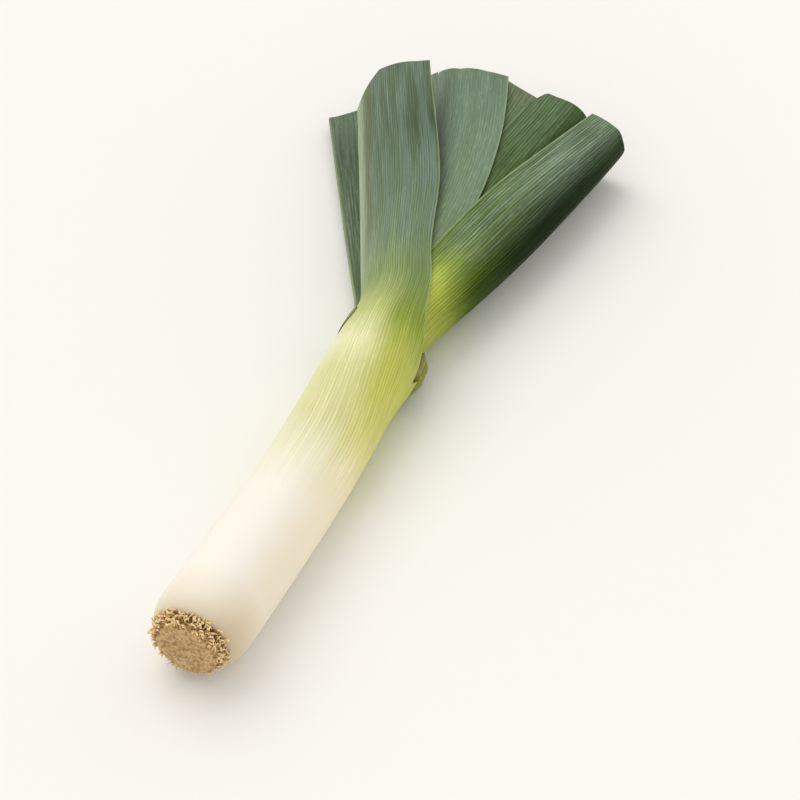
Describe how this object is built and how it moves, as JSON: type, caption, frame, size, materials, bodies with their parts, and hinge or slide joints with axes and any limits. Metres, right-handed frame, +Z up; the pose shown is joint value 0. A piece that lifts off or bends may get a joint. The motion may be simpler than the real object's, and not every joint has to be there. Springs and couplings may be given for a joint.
{
  "type": "leek",
  "caption": "Trimmed leek lying down: white shank with a root plate at one end and cut, folded green leaves fanning out at the other.",
  "frame": {"origin": "on the table, under the middle of the box round the whole leek as it lies", "axes": "+Y along the shank from the root plate to the leaves, +Z up, +X to the right seen from the root end"},
  "size_m": [0.1391, 0.3832, 0.0362],
  "materials": {
    "shank_and_outer_leaf": "satin, white at the root end, through pale yellow-green to blue-green along the blade",
    "green_leaf": "satin, waxy, with fine lengthwise veins",
    "grey_green_leaf": "matt, with a grey wax bloom",
    "young_leaf": "satin, pale green",
    "dark_leaf": "matt, dark blue-green",
    "root": "matt, dry and fibrous"
  },
  "bodies": {
    "root": {"shank_with_outer_leaf": "shank_and_outer_leaf", "leaf_right_1": "green_leaf", "leaf_left_2": "grey_green_leaf", "leaf_right_2": "green_leaf", "leaf_left_3": "green_leaf", "heart_leaf": "young_leaf", "oldest_leaf": "dark_leaf", "root_plate": "root"}
  },
  "joints": []
}
